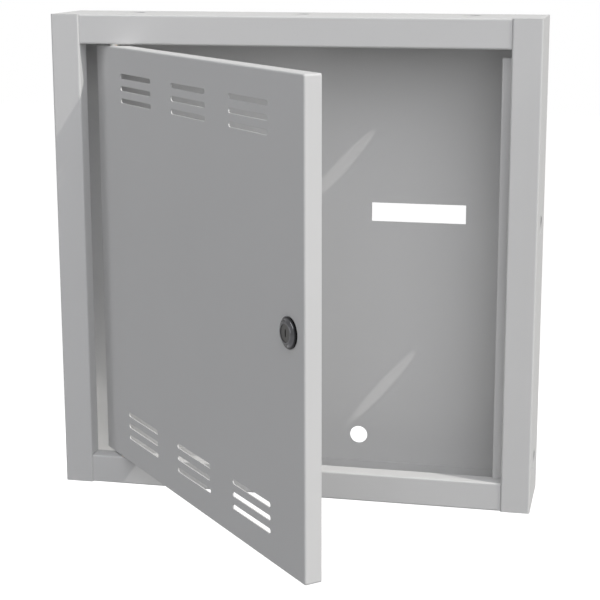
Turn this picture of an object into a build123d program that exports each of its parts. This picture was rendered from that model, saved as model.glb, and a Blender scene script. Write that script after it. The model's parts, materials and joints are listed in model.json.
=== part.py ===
from build123d import *
from math import radians, tan
import os

# Wall-mounted utility cabinet: a welded steel box with a front frame, an inset vented door
# on two pivot pins, and a cam lock.
# Millimetres. X runs to the right, Y into the wall, Z up. The origin is the centre of the
# back face, which lies on the wall. The door stands open, as it is drawn at rest.

os.makedirs("parts", exist_ok=True)

# Driving dimensions
cabinet_width = 500
cabinet_height = 500
cabinet_depth = 90
frame_face = 30
frame_return = 20
rail_setback = 1.2
body_sheet = 1.2
door_sheet = 1.2
bend_inside = 0.8
door_gap = 1.5
door_return = 16.5
door_opening_angle = 48
weld_seam = 0.1
cut_overrun = 5

# Stop lip on the lock side: the door closes against it and the cam grips behind it
stop_lip = 10
stop_lip_relief = 9
stop_clearance = 0.5
cam_clearance = 0.6

# Edges that follow from those
half_width = cabinet_width / 2
half_height = cabinet_height / 2
front = -cabinet_depth
doorway_half_width = half_width - frame_face
doorway_half_height = half_height - frame_face
rail_front = front + rail_setback
body_bend = bend_inside + body_sheet
door_bend = bend_inside + door_sheet
stop_depth = door_return + stop_clearance
wall_back = -body_sheet - weld_seam
wall_front = front + body_sheet + weld_seam

# Door hinge line, measured from the door's own edges
hinge_inset = 35
hinge_setback = 6.5
hinge_x = hinge_inset + door_gap - doorway_half_width
hinge_y = front + hinge_setback
pin_radius = 2
pin_fit = 0.05
bush_wall = 1.2
bush_radius = pin_radius + pin_fit + bush_wall

# Lock line, measured from the door's free edge
lock_inset = 26
lock_x = doorway_half_width - door_gap - lock_inset
barrel_radius = 9
barrel_flats = 16
lock_fit = 0.05


def folded_section(points, radii, thickness, side):
    """Section of a folded sheet: its outer line, rounded at the folds, given a thickness."""
    with BuildSketch() as section:
        with BuildLine():
            FilletPolyline(*points, radius=radii)
            offset(amount=thickness, side=side)
        make_face()
    return section.sketch


# Cable entries: round holes in the walls and the back, and an open slot in the back
entry_radius = 9.5
side_entry_setback = 45
wall_entry_setback = 38
wall_entry_pitch = 175
wall_entries = 3
entry_upper_z = 42
entry_lower_inset = 44
entry_lower_z = entry_lower_inset - half_height
cable_slot_x = 119
cable_slot_length = 100
cable_slot_height = 20
cable_hole_x = 56
wall_hole_inset = 30
wall_hole_radius = 3.5
wall_hole_columns = cabinet_width - 2 * wall_hole_inset
wall_hole_rows = cabinet_height - 2 * wall_hole_inset

# Wrap: one sheet folded into the back, both sides, both stiles and their returns
wrap_line = [
    (-doorway_half_width, front + frame_return),
    (-doorway_half_width, front),
    (-half_width, front),
    (-half_width, 0),
    (half_width, 0),
    (half_width, front),
    (doorway_half_width, front),
    (doorway_half_width, front + stop_depth),
    (doorway_half_width - stop_lip, front + stop_depth),
]
wrap_bends = [body_bend] * (len(wrap_line) - 3) + [bend_inside]

with BuildPart() as cabinet_wrap:
    with BuildSketch(Plane.XY.offset(-half_height)):
        add(folded_section(wrap_line, wrap_bends, body_sheet, Side.RIGHT))
    extrude(amount=cabinet_height)
    # The returns end under the top and bottom walls, and the lip ends short of the upper rail
    for end_plane in (Plane.XY.offset(half_height), Plane.XY.offset(-half_height)):
        with BuildSketch(end_plane):
            with Locations((0, wall_front)):
                Rectangle(
                    2 * (doorway_half_width + body_bend),
                    frame_return + cut_overrun,
                    align=(Align.CENTER, Align.MIN),
                )
        extrude(amount=body_sheet + weld_seam, both=True, mode=Mode.SUBTRACT)
    for lip_end, relief in ((doorway_half_height, stop_lip_relief), (-doorway_half_height, -weld_seam)):
        with BuildSketch(Plane.XY.offset(lip_end - relief)):
            with Locations((doorway_half_width + body_bend, front + stop_depth - bend_inside)):
                Rectangle(stop_lip + cut_overrun, cut_overrun, align=(Align.MAX, Align.MIN))
        extrude(amount=lip_end, mode=Mode.SUBTRACT)
    # Wall holes, cable slot and cable hole in the back
    with BuildSketch(Plane.XZ):
        with GridLocations(wall_hole_columns, wall_hole_rows, 2, 2):
            Circle(wall_hole_radius)
        with Locations((cable_slot_x, entry_upper_z)):
            Rectangle(cable_slot_length, cable_slot_height)
        with Locations((cable_hole_x, entry_lower_z)):
            Circle(entry_radius)
    extrude(amount=cut_overrun, both=True, mode=Mode.SUBTRACT)
    # Cable entries through both sides, level with the slot and the hole in the back
    with BuildSketch(Plane.YZ):
        with Locations((-side_entry_setback, entry_upper_z), (-side_entry_setback, entry_lower_z)):
            Circle(entry_radius)
    extrude(amount=half_width + cut_overrun, both=True, mode=Mode.SUBTRACT)

cabinet_wrap.part.label = "cabinet_wrap"
export_step(cabinet_wrap.part, "parts/cabinet_wrap.step")

# Top channel: top wall with the frame's upper rail and its return, folded from one sheet.
# It sits between the sides and is welded to them and to the back by narrow flanges. The rail
# stands a little behind the stiles, so their rounded edges show along its ends.
weld_flange = 15
rail_half_length = doorway_half_width - weld_seam
wall_half_length = half_width - body_sheet - weld_seam
rail_line = [
    (wall_back, half_height - weld_flange),
    (wall_back, half_height),
    (rail_front, half_height),
    (rail_front, doorway_half_height),
    (front + frame_return, doorway_half_height),
]
wing_line = [
    (rail_half_length, half_height),
    (wall_half_length, half_height),
    (wall_half_length, half_height - weld_flange),
]

with BuildPart() as top_channel:
    with BuildSketch(Plane.YZ.offset(-rail_half_length)):
        add(folded_section(rail_line, body_bend, body_sheet, Side.LEFT))
    extrude(amount=2 * rail_half_length)
    # The wall's two ends, behind the stiles, with their flanges
    with BuildSketch(Plane.XZ.offset(-wall_back)):
        add(folded_section(wing_line, body_bend, body_sheet, Side.RIGHT))
    extrude(amount=wall_back - wall_front)
    mirror(top_channel.part, about=Plane.YZ)
    # Corner reliefs clear the inside of the wrap's folds
    with BuildSketch(Plane.XY.offset(half_height)):
        with Locations((0, (wall_back + wall_front) / 2)):
            with GridLocations(2 * wall_half_length, wall_back - wall_front, 2, 2):
                Rectangle(2 * bend_inside, 2 * bend_inside, rotation=45)
    extrude(amount=-frame_face, mode=Mode.SUBTRACT)
    # Cable entries in the wall
    with BuildSketch(Plane.XY.offset(half_height)):
        with Locations((0, -wall_entry_setback)):
            with GridLocations(wall_entry_pitch, 0, wall_entries, 1):
                Circle(entry_radius)
    extrude(amount=cut_overrun, both=True, mode=Mode.SUBTRACT)
    # Seat of the hinge bush in the return
    with BuildSketch(Plane.XY.offset(doorway_half_height)):
        with Locations((hinge_x, hinge_y)):
            Circle(bush_radius + pin_fit)
    extrude(amount=cut_overrun, both=True, mode=Mode.SUBTRACT)

top_channel.part.label = "top_channel"
export_step(top_channel.part, "parts/top_channel.step")

# Bottom channel: the same folded sheet, turned over
with BuildPart() as bottom_channel:
    mirror(top_channel.part, about=Plane.XY)

bottom_channel.part.label = "bottom_channel"
export_step(bottom_channel.part, "parts/bottom_channel.step")

# The door and all that it carries are drawn shut, then swung open about the hinge line
hinge_foot = Location((hinge_x, hinge_y, 0))
swing_open = hinge_foot * Location((0, 0, 0), (0, 0, -door_opening_angle)) * hinge_foot.inverse()
door_front = Plane.XZ.offset(cabinet_depth)

# Door: a welded pan with rounded edges, punched with two banks of vent slots
door_width = 2 * (doorway_half_width - door_gap)
door_height = 2 * (doorway_half_height - door_gap)
vent_length = 73.5
vent_height = 5
vent_pitch = 12.3
vent_rows = 3
vent_group_pitch = 120
vent_groups = 3
vent_bank_inset = 41
vent_bank_spacing = door_height - 2 * vent_bank_inset

with BuildPart() as door:
    with BuildSketch(door_front):
        Rectangle(door_width, door_height)
    extrude(amount=-door_return)
    back_face = door.faces().sort_by(Axis.Y)[-1]
    back_edges = back_face.edges()
    fillet(door.edges() - back_edges, radius=door_bend)
    offset(amount=-door_sheet, openings=door.faces().sort_by(Axis.Y)[-1])
    with BuildSketch(door_front):
        with GridLocations(vent_group_pitch, vent_bank_spacing, vent_groups, 2):
            with GridLocations(0, vent_pitch, 1, vent_rows):
                SlotOverall(vent_length, vent_height)
    extrude(amount=cut_overrun, both=True, mode=Mode.SUBTRACT)
    # Hole for the lock, flat on two sides so that the lock can't turn in it
    with BuildSketch(door_front):
        with Locations((lock_x, 0)):
            Circle(barrel_radius + lock_fit)
            Rectangle(barrel_flats + 2 * lock_fit, door_height, mode=Mode.INTERSECT)
    extrude(amount=cut_overrun, both=True, mode=Mode.SUBTRACT)
    # Holes for the hinge pins, drilled in line through both returns
    with BuildSketch(Plane.XY):
        with Locations((hinge_x, hinge_y)):
            Circle(pin_radius + pin_fit)
    extrude(amount=door_height, both=True, mode=Mode.SUBTRACT)

door.part.move(swing_open)
door.part.label = "door"
export_step(door.part, "parts/door.step")

# Hinges: a headed pin through each return of the door turns in a flanged nylon bush in the rail
hinge_run_gap = 0.3
pin_head_radius = 3.5
pin_head_height = 2
pin_tip = 2
pin_chamfer = 0.6
bush_flange_radius = 5
bush_flange = door_gap - hinge_run_gap
bush_stand = 2
clip_radius = 3.6
clip_thickness = 0.8
clip_cone = 0.6
clip_rim = 0.6
door_top = door_height / 2
pin_shoulder = door_top - door_sheet
bush_end = doorway_half_height + body_sheet + bush_stand
clip_base = bush_end + hinge_run_gap
pin_end = clip_base + clip_thickness + pin_tip
hinge_section = Plane.XZ.offset(-hinge_y)
hinge_line = Axis((hinge_x, hinge_y, 0), (0, 0, 1))

with BuildPart() as upper_hinge_pin:
    with BuildSketch(Plane.XY.offset(pin_shoulder - pin_head_height)):
        with Locations((hinge_x, hinge_y)):
            Circle(pin_head_radius)
    extrude(amount=pin_head_height)
    with BuildSketch(Plane.XY.offset(pin_shoulder)):
        with Locations((hinge_x, hinge_y)):
            Circle(pin_radius)
    extrude(amount=pin_end - pin_shoulder)
    chamfer(upper_hinge_pin.edges().sort_by(Axis.Z)[-1], length=pin_chamfer)
    fillet(upper_hinge_pin.edges().sort_by(Axis.Z)[0], radius=pin_chamfer)

with BuildPart() as upper_hinge_bush:
    with BuildSketch(hinge_section):
        with BuildLine():
            Polyline(
                (hinge_x + pin_radius + pin_fit, doorway_half_height - bush_flange),
                (hinge_x + bush_flange_radius, doorway_half_height - bush_flange),
                (hinge_x + bush_flange_radius, doorway_half_height),
                (hinge_x + bush_radius, doorway_half_height),
                (hinge_x + bush_radius, bush_end),
                (hinge_x + pin_radius + pin_fit, bush_end),
                close=True,
            )
        make_face()
    revolve(axis=hinge_line)

# Push-on clip: a shallow cone that grips the pin past the bush
with BuildPart() as upper_pin_clip:
    with BuildSketch(hinge_section):
        with BuildLine():
            Polyline(
                (hinge_x + clip_radius, clip_base),
                (hinge_x + clip_radius, clip_base + clip_thickness),
                (hinge_x + clip_radius - clip_rim, clip_base + clip_thickness),
                (hinge_x + pin_radius + pin_fit, clip_base + clip_thickness + clip_cone),
                (hinge_x + pin_radius + pin_fit, clip_base + clip_cone),
                (hinge_x + clip_radius - clip_rim, clip_base),
                close=True,
            )
        make_face()
    revolve(axis=hinge_line)

with BuildPart() as lower_hinge_pin:
    mirror(upper_hinge_pin.part, about=Plane.XY)

with BuildPart() as lower_hinge_bush:
    mirror(upper_hinge_bush.part, about=Plane.XY)

with BuildPart() as lower_pin_clip:
    mirror(upper_pin_clip.part, about=Plane.XY)

for turning_piece in (upper_hinge_pin, lower_hinge_pin, upper_pin_clip, lower_pin_clip):
    turning_piece.part.move(swing_open)

upper_hinge_pin.part.label = "upper_hinge_pin"
export_step(upper_hinge_pin.part, "parts/upper_hinge_pin.step")
lower_hinge_pin.part.label = "lower_hinge_pin"
export_step(lower_hinge_pin.part, "parts/lower_hinge_pin.step")
upper_hinge_bush.part.label = "upper_hinge_bush"
export_step(upper_hinge_bush.part, "parts/upper_hinge_bush.step")
lower_hinge_bush.part.label = "lower_hinge_bush"
export_step(lower_hinge_bush.part, "parts/lower_hinge_bush.step")
upper_pin_clip.part.label = "upper_pin_clip"
export_step(upper_pin_clip.part, "parts/upper_pin_clip.step")
lower_pin_clip.part.label = "lower_pin_clip"
export_step(lower_pin_clip.part, "parts/lower_pin_clip.step")

# Cam lock. Its depths are counted from the door's face, positive towards the inside.
lock_head_radius = 14
lock_head_rim = 1.4
lock_head_height = 4.2
lock_face_radius = 9.5
lock_head_bulge = 0.6
plug_radius = 6.5
plug_face_radius = 8
plug_face_depth = 2
plug_recess = 0.4
square_size = 7
cam_thickness = 2
stop_washer_thickness = 1
lock_run_gap = 0.3
cam_depth = stop_depth + body_sheet + cam_clearance
stop_washer_depth = cam_depth - stop_washer_thickness
barrel_end = stop_washer_depth - lock_run_gap
bore_radius = plug_radius + lock_fit
counterbore_radius = plug_face_radius + lock_fit
lock_section = Plane((lock_x, front, 0), x_dir=(1, 0, 0), z_dir=(0, 0, 1))
lock_line = Axis((lock_x, front, 0), (0, 1, 0))
lock_face = Plane((lock_x, front, 0), x_dir=(1, 0, 0), z_dir=(0, -1, 0))

# Stop peg on the barrel's end: it runs in the open side of the stop washer and ends the turn
lock_turn_angle = 90
peg_angle = 24
peg_play_angle = 4
peg_inner_radius = 7.2
peg_outer_radius = 8.6
peg_middle_angle = 90


def ring_sector(inner_radius, outer_radius, start, sweep_angle):
    """Part of a flat ring, from the start angle round by the sweep angle."""
    with BuildSketch() as sector:
        with BuildLine():
            outer = CenterArc((0, 0), outer_radius, start, sweep_angle)
            inner = CenterArc((0, 0), inner_radius, start, sweep_angle)
            Line(outer @ 0, inner @ 0)
            Line(outer @ 1, inner @ 1)
        make_face()
    return sector.sketch


# Housing: turned head with a domed shoulder, and a barrel with two flats
with BuildPart() as lock_housing:
    with BuildSketch(lock_section):
        with BuildLine():
            Polyline(
                (lock_head_radius, -lock_head_rim),
                (lock_head_radius, 0),
                (barrel_radius, 0),
                (barrel_radius, barrel_end),
                (bore_radius, barrel_end),
                (bore_radius, plug_face_depth - lock_head_height),
                (counterbore_radius, plug_face_depth - lock_head_height),
                (counterbore_radius, -lock_head_height),
                (lock_face_radius, -lock_head_height),
            )
            SagittaArc(
                (lock_face_radius, -lock_head_height),
                (lock_head_radius, -lock_head_rim),
                lock_head_bulge,
            )
        make_face()
    revolve(axis=lock_line)
    with BuildSketch(lock_face):
        Circle(barrel_radius + cut_overrun)
        Rectangle(barrel_flats, 2 * (barrel_radius + cut_overrun), mode=Mode.SUBTRACT)
    extrude(amount=-(barrel_end + cut_overrun), mode=Mode.SUBTRACT)
    with BuildSketch(lock_face.offset(-barrel_end)):
        add(ring_sector(peg_inner_radius, peg_outer_radius, peg_middle_angle - peg_angle / 2, peg_angle))
    extrude(amount=lock_run_gap - cam_depth + barrel_end)

# Plug: front disc with the keyway, turned body, and a square end that carries the cam
plug_run_gap = 0.1
keyway_width = 1.6
keyway_height = 7
keyway_depth = 12
screw_radius = 2
screw_length = 9
square_end = cam_depth + cam_thickness - plug_run_gap

with BuildPart() as lock_plug:
    with BuildSketch(lock_section):
        with BuildLine():
            Polyline(
                (0, plug_recess - lock_head_height),
                (plug_face_radius, plug_recess - lock_head_height),
                (plug_face_radius, plug_face_depth - lock_head_height - plug_run_gap),
                (plug_radius, plug_face_depth - lock_head_height - plug_run_gap),
                (plug_radius, barrel_end),
                (0, barrel_end),
                close=True,
            )
        make_face()
    revolve(axis=lock_line)
    with BuildSketch(lock_face.offset(-barrel_end)):
        Rectangle(square_size, square_size)
    extrude(amount=barrel_end - square_end)
    with BuildSketch(lock_face.offset(lock_head_height)):
        SlotOverall(keyway_height, keyway_width, rotation=90)
    extrude(amount=-keyway_depth, mode=Mode.SUBTRACT)
    with BuildSketch(lock_face.offset(-square_end)):
        Circle(screw_radius + lock_fit)
    extrude(amount=screw_length, mode=Mode.SUBTRACT)

# Toothed washer and nut that clamp the housing to the door
tooth_washer_radius = 12.2
tooth_washer_thickness = 0.8
tooth_count = 12
tooth_notch_radius = 1.1
nut_flats = 24
nut_height = 4
nut_crown_radius = 11.4
nut_crown_angle = 30
nut_depth = door_sheet + tooth_washer_thickness
nut_end = nut_depth + nut_height
nut_slope_radius = nut_crown_radius + cut_overrun
nut_slope_depth = nut_end - cut_overrun * tan(radians(nut_crown_angle))

with BuildPart() as lock_tooth_washer:
    with BuildSketch(lock_face.offset(-door_sheet)):
        Circle(tooth_washer_radius)
        Circle(barrel_radius + lock_fit, mode=Mode.SUBTRACT)
        with PolarLocations(tooth_washer_radius, tooth_count):
            Circle(tooth_notch_radius, mode=Mode.SUBTRACT)
    extrude(amount=-tooth_washer_thickness)

with BuildPart() as lock_nut:
    with BuildSketch(lock_face.offset(-nut_depth)):
        RegularPolygon(nut_flats / 2, 6, major_radius=False)
    extrude(amount=-nut_height)
    # Its corners are turned off to a shallow cone on the open side
    with BuildSketch(lock_section):
        with BuildLine():
            Polyline(
                (0, nut_depth),
                (nut_slope_radius, nut_depth),
                (nut_slope_radius, nut_slope_depth),
                (nut_crown_radius, nut_end),
                (0, nut_end),
                close=True,
            )
        make_face()
    revolve(axis=lock_line, mode=Mode.INTERSECT)
    with BuildSketch(lock_face.offset(-nut_depth)):
        Circle(barrel_radius + lock_fit)
    extrude(amount=-nut_height, mode=Mode.SUBTRACT)

# Stop washer: a disc on the square, with a wider part that leaves the peg its quarter turn
open_angle = lock_turn_angle + peg_angle + 2 * peg_play_angle
open_start = peg_middle_angle - lock_turn_angle - peg_angle / 2 - peg_play_angle

with BuildPart() as stop_washer:
    with BuildSketch(lock_face.offset(-stop_washer_depth)):
        Circle(peg_inner_radius - lock_run_gap)
        add(ring_sector(square_size / 2, peg_outer_radius, open_start + open_angle, 360 - open_angle))
        Rectangle(square_size + 2 * lock_fit, square_size + 2 * lock_fit, mode=Mode.SUBTRACT)
    extrude(amount=-stop_washer_thickness)

# Cam: a flat arm on the plug's square, hanging down while the lock is open
cam_eye_radius = 8
cam_reach = 35
cam_tip_width = 14
cam_tip_length = 10
cam_tip_corner = 3

with BuildPart() as lock_cam:
    with BuildSketch(lock_face.offset(-cam_depth)):
        Circle(cam_eye_radius)
        with Locations((0, cam_tip_length / 2 - cam_reach)):
            RectangleRounded(cam_tip_width, cam_tip_length, cam_tip_corner)
        make_hull()
        Rectangle(square_size + 2 * lock_fit, square_size + 2 * lock_fit, mode=Mode.SUBTRACT)
    extrude(amount=-cam_thickness)

# Split spring washer and screw that hold the cam on the square
spring_washer_radius = 3.9
spring_washer_thickness = 1
spring_washer_split_angle = 14
screw_head_radius = 4.2
screw_head_height = 2.6
screw_head_round = 1.4
screw_recess_width = 1
screw_recess_length = 4.6
screw_recess_depth = 1.4
cam_back = cam_depth + cam_thickness
screw_seat = cam_back + spring_washer_thickness

with BuildPart() as cam_spring_washer:
    with BuildSketch(lock_face.offset(-cam_back)):
        add(
            ring_sector(
                screw_radius + lock_fit,
                spring_washer_radius,
                spring_washer_split_angle,
                360 - spring_washer_split_angle,
            )
        )
    extrude(amount=-spring_washer_thickness)

with BuildPart() as cam_screw:
    with BuildSketch(lock_face.offset(-screw_seat)):
        Circle(screw_head_radius)
    extrude(amount=-screw_head_height)
    fillet(cam_screw.edges().sort_by(Axis.Y)[-1], radius=screw_head_round)
    with BuildSketch(lock_face.offset(-screw_seat)):
        Circle(screw_radius)
    extrude(amount=screw_length)
    with BuildSketch(lock_face.offset(-screw_seat - screw_head_height)):
        Rectangle(screw_recess_length, screw_recess_width)
        Rectangle(screw_recess_width, screw_recess_length)
    extrude(amount=screw_recess_depth, mode=Mode.SUBTRACT)

lock_pieces = {
    "lock_housing": lock_housing,
    "lock_tooth_washer": lock_tooth_washer,
    "lock_nut": lock_nut,
    "lock_plug": lock_plug,
    "stop_washer": stop_washer,
    "lock_cam": lock_cam,
    "cam_spring_washer": cam_spring_washer,
    "cam_screw": cam_screw,
}
for name, piece in lock_pieces.items():
    piece.part.move(swing_open)
    piece.part.label = name
    export_step(piece.part, f"parts/{name}.step")
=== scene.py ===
# %% [markdown]
# A shallow steel cabinet for a wall, with its vented door standing open. The shapes come
# ready made and at real size. This lesson gives them their finishes, adds the one fine piece
# that they lack, the thread of the lock, and sets up the light and the camera.
# The first step loads the finished shapes. They stay exactly where they are, so everything
# that follows is measured from them.

# %% Load the cabinet
import json
import math

import bmesh
import bpy
from mathutils import Matrix, Vector


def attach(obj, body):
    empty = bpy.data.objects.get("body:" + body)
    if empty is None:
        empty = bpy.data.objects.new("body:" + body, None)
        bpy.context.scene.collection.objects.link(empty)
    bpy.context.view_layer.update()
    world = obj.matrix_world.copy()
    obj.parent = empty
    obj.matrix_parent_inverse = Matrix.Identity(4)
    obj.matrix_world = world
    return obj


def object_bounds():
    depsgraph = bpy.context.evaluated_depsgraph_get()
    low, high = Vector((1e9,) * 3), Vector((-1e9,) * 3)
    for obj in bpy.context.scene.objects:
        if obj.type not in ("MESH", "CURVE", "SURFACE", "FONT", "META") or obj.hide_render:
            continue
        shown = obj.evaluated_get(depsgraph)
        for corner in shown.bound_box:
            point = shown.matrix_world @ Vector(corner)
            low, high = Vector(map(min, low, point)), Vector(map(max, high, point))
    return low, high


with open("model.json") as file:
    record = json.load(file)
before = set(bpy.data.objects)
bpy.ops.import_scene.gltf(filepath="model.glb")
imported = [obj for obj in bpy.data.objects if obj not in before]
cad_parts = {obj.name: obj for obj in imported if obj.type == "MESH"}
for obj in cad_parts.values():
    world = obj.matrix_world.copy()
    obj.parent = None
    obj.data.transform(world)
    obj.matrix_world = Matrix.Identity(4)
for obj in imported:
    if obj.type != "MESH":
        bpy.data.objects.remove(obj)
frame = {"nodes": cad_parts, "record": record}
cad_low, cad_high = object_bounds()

mm = 0.001
nodes = frame["nodes"]
print("pieces:", sorted(nodes))
print("size in mm:", [round(side / mm, 1) for side in cad_high - cad_low])

# %% [markdown]
# Colours are written as the hex values that a paint chart would give. A shader works with
# light, which is linear, so one function turns the one into the other.
# A second function gives a pattern its scale: a noise whose grains are 2 mm wide repeats
# 500 times in a metre.

# %% Colours and pattern sizes
def linear(hex_colour):
    """A colour written as sRGB hex, as linear red, green, blue and alpha."""
    shares = [int(hex_colour[start:start + 2], 16) / 255 for start in (1, 3, 5)]
    light = [share / 12.92 if share <= 0.04045 else ((share + 0.055) / 1.055) ** 2.4 for share in shares]
    return light + [1.0]


def grains(size_mm):
    """Texture scale at which one grain of a pattern is that many millimetres wide."""
    return 1 / (size_mm * mm)


print("mid grey in linear light:", [round(share, 3) for share in linear("#808080")])

# %% [markdown]
# Every material below is a small tree of nodes. One function adds a node, sets what is
# fixed, and links what comes from another node, so that each material reads as a list of
# what it is made of.

# %% One function for nodes
def add_node(tree, kind, inputs=None, **settings):
    """Adds a shader node. An input is a value, or another node's output to link."""
    made = tree.nodes.new("ShaderNode" + kind)
    for name, value in settings.items():
        setattr(made, name, value)
    for name, value in (inputs or {}).items():
        if isinstance(value, bpy.types.NodeSocket):
            tree.links.new(value, made.inputs[name])
        else:
            made.inputs[name].default_value = value
    return made


def new_material(name):
    """An empty material: its tree, and the place on the object that patterns are read from."""
    material = bpy.data.materials.new(name)
    material.use_nodes = True
    material.node_tree.nodes.clear()
    place = add_node(material.node_tree, "TexCoord").outputs["Object"]
    return material, material.node_tree, place


print("materials so far:", len(bpy.data.materials))

# %% [markdown]
# The sheets and the door are steel with a baked polyester powder coat. The powder is
# sprayed on dry and melts in an oven, so the film is even, satin, and a little wavy, like
# orange peel. It also flows thin over cut edges and rounds them.
# The waviness could be modelled, but it is about a hundredth of a millimetre high, so a
# bump is the honest way. The Bevel node softens the cut edges of the sheet in the same way.

# %% Powder coat
def powder_coated_steel():
    """Light grey, soft satin: broad faint highlights, broken by a fine orange peel."""
    material, tree, place = new_material("powder_coated_steel")
    film = add_node(tree, "TexNoise", {"Vector": place, "Scale": grains(120), "Detail": 3.0})
    shade = add_node(tree, "ValToRGB", {"Fac": film.outputs["Fac"]})
    shade.color_ramp.elements[0].color = linear("#D7D7D7")
    shade.color_ramp.elements[1].color = linear("#DBDBDB")
    fine = add_node(tree, "TexNoise", {"Vector": place, "Scale": grains(1.1), "Detail": 2.0})
    gloss = add_node(tree, "MapRange", {"Value": fine.outputs["Fac"], "To Min": 0.72, "To Max": 0.82})
    # The real peel is about 1.5 mm from crest to crest. It is drawn at 3 mm, so that it shows.
    peel = add_node(tree, "TexNoise", {"Vector": place, "Scale": grains(3.0), "Detail": 1.0})
    edge = add_node(tree, "Bevel", {"Radius": 0.4 * mm}, samples=4)
    wave = add_node(tree, "Bump", {
        "Height": peel.outputs["Fac"], "Distance": 0.03 * mm, "Strength": 0.6,
        "Normal": edge.outputs["Normal"],
    })
    skin = add_node(tree, "BsdfPrincipled", {
        "Base Color": shade.outputs["Color"], "Roughness": gloss.outputs["Result"],
        "Normal": wave.outputs["Normal"], "IOR": 1.5,
    })
    add_node(tree, "OutputMaterial", {"Surface": skin.outputs["BSDF"]})
    return material


powder_coat = powder_coated_steel()
print("made", powder_coat.name)

# %% [markdown]
# The hinge pins, clips, washers, nut and cam are stamped or turned from steel and zinc
# plated. Plating is bright but never quite even: it is built up in tiny crystals, and the
# passivation leaves a faint yellow and blue cast.
# One even metal would look like chrome. So a cloud of noise gives the cast, and a Voronoi
# pattern, whose cells lie side by side as crystals do, breaks up the sheen.

# %% Zinc plating
def zinc_plated_steel():
    """Cool silver with a cloudy sheen, where crystals of zinc turn the light."""
    material, tree, place = new_material("zinc_plated_steel")
    cloud = add_node(tree, "TexNoise", {"Vector": place, "Scale": grains(4.0), "Detail": 4.0})
    cast = add_node(tree, "ValToRGB", {"Fac": cloud.outputs["Fac"]})
    cast.color_ramp.elements[0].color = linear("#9EA2A6")
    cast.color_ramp.elements[1].color = linear("#C3C1B6")
    crystal = add_node(tree, "TexVoronoi", {"Vector": place, "Scale": grains(0.5)})
    sheen = add_node(tree, "MapRange", {
        "Value": crystal.outputs["Distance"], "To Min": 0.26, "To Max": 0.44,
    })
    dull = add_node(tree, "Bump", {
        "Height": crystal.outputs["Distance"], "Distance": 0.01 * mm, "Strength": 0.4,
    })
    metal = add_node(tree, "BsdfPrincipled", {
        "Base Color": cast.outputs["Color"], "Metallic": 1.0,
        "Roughness": sheen.outputs["Result"], "Normal": dull.outputs["Normal"],
    })
    add_node(tree, "OutputMaterial", {"Surface": metal.outputs["BSDF"]})
    return material


zinc = zinc_plated_steel()
print("made", zinc.name)

# %% [markdown]
# The lock is the one mirror on the cabinet. Close to the door its colour carries a painted dark
# reflection, so the lock has to be found first. The joint that turns its plug gives the place where its
# line meets the door's face, and the direction of that line.

# %% Find the lock
joints = frame["record"]["behaviour"]["joints"]
lock_joint = next(joint for joint in joints if joint["name"] == "lock_turn")
lock_place = Vector(lock_joint["pos_m"])
lock_inwards = -Vector(lock_joint["axis"])
print("lock at", [round(part / mm, 1) for part in lock_place], "mm")

# %% [markdown]
# The lock's housing is die-cast zinc under a dark nickel plating. Its domed shoulder is polished, so a
# lamp shows in it as a narrow highlight. The rim close to the door carries a painted dark reflection:
# its colour is made nearly black, as if it mirrored dark surroundings.
# The rim could be a piece of its own, but it is the same casting. So the painted dark colour fades out
# with the distance from the middle of the rim, measured along the lock's line.

# %% Dark nickel on the lock's housing
# The band near the door whose colour is painted nearly black, as a painted dark reflection.
painted_rim_middle = 0.8 * mm
painted_rim_half = 0.8 * mm
painted_rim_fade = 0.5 * mm


def polished_dark_nickel():
    """Dark mirror with a painted dark rim: a narrow highlight on the domed shoulder, spread a little by
    polishing marks.
    """
    material, tree, place = new_material("polished_dark_nickel")
    tarnish = add_node(tree, "TexNoise", {"Vector": place, "Scale": grains(6.0), "Detail": 3.0})
    tone = add_node(tree, "ValToRGB", {"Fac": tarnish.outputs["Fac"]})
    tone.color_ramp.elements[0].color = linear("#48484A")
    tone.color_ramp.elements[1].color = linear("#5A5A5D")
    from_painted_rim_middle = add_node(tree, "VectorMath", {0: place, 1: lock_place - lock_inwards * painted_rim_middle},
                        operation="SUBTRACT")
    depth = add_node(tree, "VectorMath", {0: from_painted_rim_middle.outputs["Vector"], 1: lock_inwards},
                     operation="DOT_PRODUCT")
    away = add_node(tree, "Math", {0: depth.outputs["Value"]}, operation="ABSOLUTE")
    clear_of_painted_rim = add_node(tree, "MapRange", {
        "Value": away.outputs["Value"], "From Min": painted_rim_half, "From Max": painted_rim_half + painted_rim_fade,
    })
    # Painted dark reflection: near the door the colour is mixed to near black, fading to the plating's
    # tone.
    plating_with_painted_dark_rim = add_node(tree, "MixRGB", {
        "Fac": clear_of_painted_rim.outputs["Result"], "Color1": linear("#1A1A1C"), "Color2": tone.outputs["Color"],
    })
    scratch = add_node(tree, "TexNoise", {"Vector": place, "Scale": grains(0.3), "Detail": 2.0})
    polish = add_node(tree, "MapRange", {
        "Value": scratch.outputs["Fac"], "To Min": 0.12, "To Max": 0.20,
    })
    mirror = add_node(tree, "BsdfPrincipled", {
        "Base Color": plating_with_painted_dark_rim.outputs["Color"], "Metallic": 1.0, "Roughness": polish.outputs["Result"],
    })
    add_node(tree, "OutputMaterial", {"Surface": mirror.outputs["BSDF"]})
    return material


dark_nickel = polished_dark_nickel()
print("made", dark_nickel.name)

# %% [markdown]
# The plug that the key turns has the same plating, but keys have scuffed its face dull.
# The scratches could be drawn one by one, but they are too many and too small. So one fine
# noise sets the tone, the dullness and the dents together, as a scuff does on metal.

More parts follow.
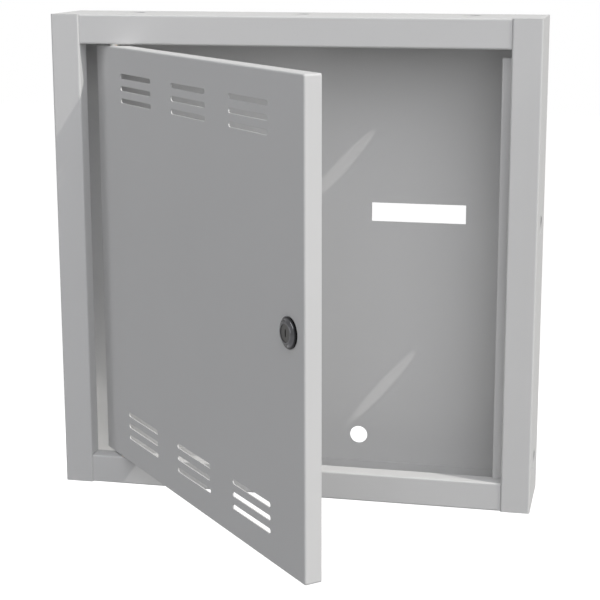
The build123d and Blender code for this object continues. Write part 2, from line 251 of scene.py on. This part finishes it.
# %% Scuffed nickel on the plug
def scuffed_dark_nickel():
    """Dull dark metal: the highlight is wide, and short scratches run through it."""
    material, tree, place = new_material("scuffed_dark_nickel")
    scuff = add_node(tree, "TexNoise", {"Vector": place, "Scale": grains(0.8), "Detail": 5.0})
    tone = add_node(tree, "ValToRGB", {"Fac": scuff.outputs["Fac"]})
    tone.color_ramp.elements[0].color = linear("#363636")
    tone.color_ramp.elements[1].color = linear("#504F4E")
    wear = add_node(tree, "MapRange", {"Value": scuff.outputs["Fac"], "To Min": 0.28, "To Max": 0.5})
    mark = add_node(tree, "Bump", {
        "Height": scuff.outputs["Fac"], "Distance": 0.02 * mm, "Strength": 0.5,
    })
    metal = add_node(tree, "BsdfPrincipled", {
        "Base Color": tone.outputs["Color"], "Metallic": 1.0,
        "Roughness": wear.outputs["Result"], "Normal": mark.outputs["Normal"],
    })
    add_node(tree, "OutputMaterial", {"Surface": metal.outputs["BSDF"]})
    return material


plug_nickel = scuffed_dark_nickel()
print("made", plug_nickel.name)

# %% [markdown]
# The hinge bushes are moulded from uncoloured nylon. It is milky: some light goes in and
# comes out again, and the mould leaves a soft matt skin.
# A pale colour alone would look like chalk. A little subsurface light, which travels about a
# millimetre under the skin, gives the milk.

# %% Nylon
def moulded_nylon():
    """Milky white, matt, with a little light carried under the skin."""
    material, tree, place = new_material("moulded_nylon")
    flow = add_node(tree, "TexNoise", {"Vector": place, "Scale": grains(5.0), "Detail": 2.0})
    milk = add_node(tree, "ValToRGB", {"Fac": flow.outputs["Fac"]})
    milk.color_ramp.elements[0].color = linear("#DEDACE")
    milk.color_ramp.elements[1].color = linear("#EAE7DD")
    skin_grain = add_node(tree, "TexNoise", {"Vector": place, "Scale": grains(0.4)})
    matt = add_node(tree, "Bump", {
        "Height": skin_grain.outputs["Fac"], "Distance": 0.01 * mm, "Strength": 0.4,
    })
    plastic = add_node(tree, "BsdfPrincipled", {
        "Base Color": milk.outputs["Color"], "Roughness": 0.45, "IOR": 1.53,
        "Subsurface Weight": 0.15, "Subsurface Scale": 1.5 * mm, "Normal": matt.outputs["Normal"],
    })
    add_node(tree, "OutputMaterial", {"Surface": plastic.outputs["BSDF"]})
    return material


nylon = moulded_nylon()
print("made", nylon.name)

# %% [markdown]
# Each ready-made piece already has a slot named for its finish. Putting our material into
# that slot changes how the piece looks and nothing else.

# %% Give each piece its finish
finish_of_slot = {
    "powder_coat": powder_coat,
    "zinc_steel": zinc,
    "lock_chrome": dark_nickel,
    "lock_plug_metal": plug_nickel,
    "nylon": nylon,
}
for subpart in frame["record"]["subparts"]:
    piece = nodes[subpart["node"]]
    piece.data.materials.clear()
    piece.data.materials.append(finish_of_slot[subpart["material_slot"]])
    print(piece.name, "is", piece.data.materials[0].name)

# %% [markdown]
# Behind the door the lock's barrel carries a fine thread, on which its nut was run up. The
# ready-made barrel is smooth. Where the thread starts, how far it runs and how thick the
# barrel is can all be measured from the pieces: every point is read as a depth along the
# lock's line, a distance out to the side, and a height.

# %% Measure the lock's barrel
lock_sideways = lock_inwards.cross(Vector((0, 0, 1)))
to_lock = Matrix((lock_inwards, lock_sideways, Vector((0, 0, 1))))


def lock_points(name):
    """The points of a piece as depth, side and height from the lock's place on the door."""
    piece = nodes[name]
    return [to_lock @ (piece.matrix_world @ corner.co - lock_place) for corner in piece.data.vertices]


nut_end = max(point.x for point in lock_points("lock_nut"))
barrel_points = [point for point in lock_points("lock_housing") if point.x > nut_end]
barrel_end = min(point.x for point in barrel_points)
barrel_radius = max(math.hypot(point.y, point.z) for point in barrel_points)
flat_half = max(abs(point.y) for point in barrel_points)
print("bare barrel from", round(nut_end / mm, 2), "to", round(barrel_end / mm, 2), "mm deep, radius",
      round(barrel_radius / mm, 2), "flats at", round(flat_half / mm, 2))

# %% [markdown]
# A piece is shaped as a bmesh, which holds its points and faces while they are worked on. One
# function turns the finished shape into an object in the scene, with its material.

# %% From a shape to an object
def finished_object(name, shape, material):
    """An object at the origin, made of the shape, which is then let go."""
    mesh = bpy.data.meshes.new(name)
    shape.to_mesh(mesh)
    shape.free()
    mesh.materials.append(material)
    made = bpy.data.objects.new(name, mesh)
    bpy.context.scene.collection.objects.link(made)
    return made


# %% [markdown]
# A thread is one ridge that winds round and moves on by its pitch with each turn. A bump could
# draw it, but the barrel's outline would stay smooth. Spinning a small triangle makes the
# ridge itself, when each step also moves the triangle along the line.

# %% Ridge of the thread
thread_pitch = 1.0 * mm
thread_height = 0.4 * mm
thread_sink = 0.05 * mm
ridge_share = 0.85
steps_per_turn = 64

ridge = thread_pitch * ridge_share
turns = (barrel_end - nut_end - ridge) / thread_pitch
steps = round(turns * steps_per_turn)
shape = bmesh.new()
corners = [
    shape.verts.new((nut_end, 0, barrel_radius - thread_sink)),
    shape.verts.new((nut_end + ridge / 2, 0, barrel_radius + thread_height)),
    shape.verts.new((nut_end + ridge, 0, barrel_radius - thread_sink)),
]
shape.faces.new(corners)
bmesh.ops.spin(
    shape, geom=shape.faces[:] + shape.edges[:] + shape.verts[:], cent=(0, 0, 0), axis=(1, 0, 0),
    angle=2 * math.pi * turns, steps=steps, dvec=(thread_pitch * turns / steps, 0, 0),
    use_duplicate=False,
)
print("ridge of", round(turns, 1), "turns,", len(shape.faces), "faces")

# %% [markdown]
# The two flats of the barrel were milled after the thread was cut, so the ridge ends at them.
# It could be spun in short arcs, one between each pair of flats, but it is simpler to do what
# the mill did: two cuts remove what stands past the flats, and the cut ends are closed. Until
# now the thread lay along the X axis, so last it is turned and moved to the lock's line.

# %% Flats through the thread
for side in (-1, 1):
    cut = bmesh.ops.bisect_plane(
        shape, geom=shape.verts[:] + shape.edges[:] + shape.faces[:],
        plane_co=(0, side * flat_half, 0), plane_no=(0, side, 0), clear_outer=True,
    )
    cut_edges = [item for item in cut["geom_cut"] if isinstance(item, bmesh.types.BMEdge)]
    bmesh.ops.holes_fill(shape, edges=cut_edges, sides=4)
bmesh.ops.recalc_face_normals(shape, faces=shape.faces)
onto_lock = Matrix.Translation(lock_place) @ to_lock.transposed().to_4x4()
bmesh.ops.transform(shape, matrix=onto_lock, verts=shape.verts)
thread = finished_object("lock_thread", shape, dark_nickel)
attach(thread, "door")
print("thread between the flats:", len(thread.data.polygons), "faces")

# %% [markdown]
# The surroundings are to look white, but white surroundings would also throw a lot of light on
# the cabinet and flatten it. So they show white only to rays that look at them: those from the
# camera, those mirrored in metal, and those that pass through something clear.

# %% Rays that look at the surroundings
def looking_rays(tree):
    """An output that is 1 for a ray that looks at the surroundings, and 0 for one that lights."""
    path = add_node(tree, "LightPath")
    plain = add_node(tree, "Math", {0: path.outputs["Is Camera Ray"], 1: path.outputs["Is Glossy Ray"]},
                     operation="MAXIMUM")
    looking = add_node(tree, "Math", {0: plain.outputs[0], 1: path.outputs["Is Transmission Ray"]},
                       operation="MAXIMUM")
    return looking.outputs[0]


print("made looking_rays")

# %% [markdown]
# The cabinet is made to hang on a wall, so the floor lies well below it, as in a room. The
# floor is plain grey card, which takes the light and the shadows. A ray that looks at it also
# sees a glow, so that it shows pale and meets the sky beyond it as one white.

# %% Card for the floor
floor_glow = 0.85


def grey_card():
    """Matt card with a faint cloud of pulp, and a glow for the rays that look at it."""
    material, tree, place = new_material("grey_card")
    fibre = add_node(tree, "TexNoise", {"Vector": place, "Scale": grains(30)})
    pulp = add_node(tree, "ValToRGB", {"Fac": fibre.outputs["Fac"]})
    pulp.color_ramp.elements[0].color = linear("#949494")
    pulp.color_ramp.elements[1].color = linear("#9A9A9A")
    paper = add_node(tree, "BsdfDiffuse", {"Color": pulp.outputs["Color"]})
    strength = add_node(tree, "Math", {0: looking_rays(tree), 1: floor_glow}, operation="MULTIPLY")
    glow = add_node(tree, "Emission", {"Strength": strength.outputs[0]})
    both = add_node(tree, "AddShader", {0: paper.outputs["BSDF"], 1: glow.outputs["Emission"]})
    add_node(tree, "OutputMaterial", {"Surface": both.outputs["Shader"]})
    return material


card = grey_card()
print("made", card.name)

# %% [markdown]
# The floor is one flat square. It reaches far past the picture, so that its edge never shows
# near the cabinet.

# %% Floor
floor_drop = 0.9
floor_half = 12.0

shape = bmesh.new()
bmesh.ops.create_grid(shape, x_segments=1, y_segments=1, size=floor_half)
bmesh.ops.translate(shape, verts=shape.verts, vec=(0, 0, cad_low.z - floor_drop))
floor = finished_object("floor", shape, card)
print("floor at", round(cad_low.z - floor_drop, 3), "m")

# %% [markdown]
# The sky is a soft even light from all round. Rays that look at it see white, but its light
# on the cabinet is kept lower, so that the lamps give the shape.

# %% Sky
sky_light = 0.14

world = bpy.data.worlds.new("studio_white")
world.use_nodes = True
bpy.context.scene.world = world
tree = world.node_tree
tree.nodes.clear()
soft = add_node(tree, "Background", {"Color": linear("#F4F8FF"), "Strength": sky_light})
white = add_node(tree, "Background", {"Color": linear("#FFFFFF"), "Strength": 1.0})
sky = add_node(tree, "MixShader", {0: looking_rays(tree), 1: soft.outputs[0], 2: white.outputs[0]})
add_node(tree, "OutputWorld", {"Surface": sky.outputs["Shader"]})
print("sky light", sky_light)

# %% [markdown]
# One lamp far off to the right and above gives the key light. It grazes the front, so the
# right side, the top and the door's edge are bright and the door's own face lies in soft
# shade. It also shines through the cable entries in the top and the right side, and draws
# the two slanting patches of light on the back panel.
# The patches have crisp edges, so the lamp is a Sun, whose rays are all but parallel. Only its
# direction counts, and its small width softens the edges a little.

# %% Key lamp
key_towards = Vector((3.83, -1.0, 4.4)).normalized()
key_strength = 1.85
key_width = math.radians(0.6)

key_data = bpy.data.lights.new("key", "SUN")
key_data.energy = key_strength
key_data.color = linear("#FFFDF8")[:3]
key_data.angle = key_width
key = bpy.data.objects.new("key", key_data)
key.rotation_euler = key_towards.to_track_quat("Z", "Y").to_euler()
bpy.context.scene.collection.objects.link(key)
print("key from", [round(part, 3) for part in key_towards])

# %% [markdown]
# A wide panel in front lifts the shade. A narrow one to the left mirrors in the lock's domed
# shoulder. It is rolled about its own line of sight, so that its image follows the curve of
# the shoulder. It also keeps the hinge side of the door from going dull. A third panel, low
# behind the cabinet, lights its back for whoever looks at it from there.

# %% Panels
panels = {
    "fill": {
        "power": 114.0, "sides": (5.0, 5.0), "roll": 0.0, "place": Vector((1.35, -2.9, 2.5)),
    },
    "side": {
        "power": 3.5, "sides": (0.9, 0.28), "roll": math.radians(-29),
        "place": Vector((-1.72, -1.03, 0.56)),
    },
    "back": {
        "power": 38.0, "sides": (3.0, 1.6), "roll": 0.0, "place": Vector((-1.5, 3.0, -0.15)),
    },
}
for name, panel in panels.items():
    panel_data = bpy.data.lights.new(name, "AREA")
    panel_data.energy = panel["power"]
    panel_data.color = linear("#FDFDFF")[:3]
    panel_data.shape = "RECTANGLE"
    panel_data.size, panel_data.size_y = panel["sides"]
    lamp = bpy.data.objects.new(name, panel_data)
    lamp.location = panel["place"]
    facing = panel["place"].to_track_quat("Z", "Y").to_matrix()
    lamp.rotation_euler = (facing @ Matrix.Rotation(panel["roll"], 3, "Z")).to_euler()
    bpy.context.scene.collection.objects.link(lamp)
    print(name, "of", panel["power"], "W, sides", panel["sides"], "m")

# %% [markdown]
# The camera stands in front, to the right and above, about a metre and a half away, with a
# long lens. The picture is a square cut from a larger one, so the lens axis isn't in its
# middle: a small shift puts it back where it was.

# %% Camera
camera_place = Vector((0.3493, -1.6005, 0.3208))
camera_aim = Vector((0.0293, -0.0900, -0.0099))
lens_mm = 93.0
lens_shift = (-0.030, -0.0417)

camera_data = bpy.data.cameras.new("camera")
camera_data.lens = lens_mm
camera_data.shift_x, camera_data.shift_y = lens_shift
camera = bpy.data.objects.new("camera", camera_data)
camera.location = camera_place
camera.rotation_euler = (camera_aim - camera_place).to_track_quat("-Z", "Y").to_euler()
bpy.context.scene.collection.objects.link(camera)
bpy.context.scene.camera = camera
bpy.context.scene.view_settings.view_transform = "Standard"
print("camera", round((camera_aim - camera_place).length, 3), "m from what it looks at")
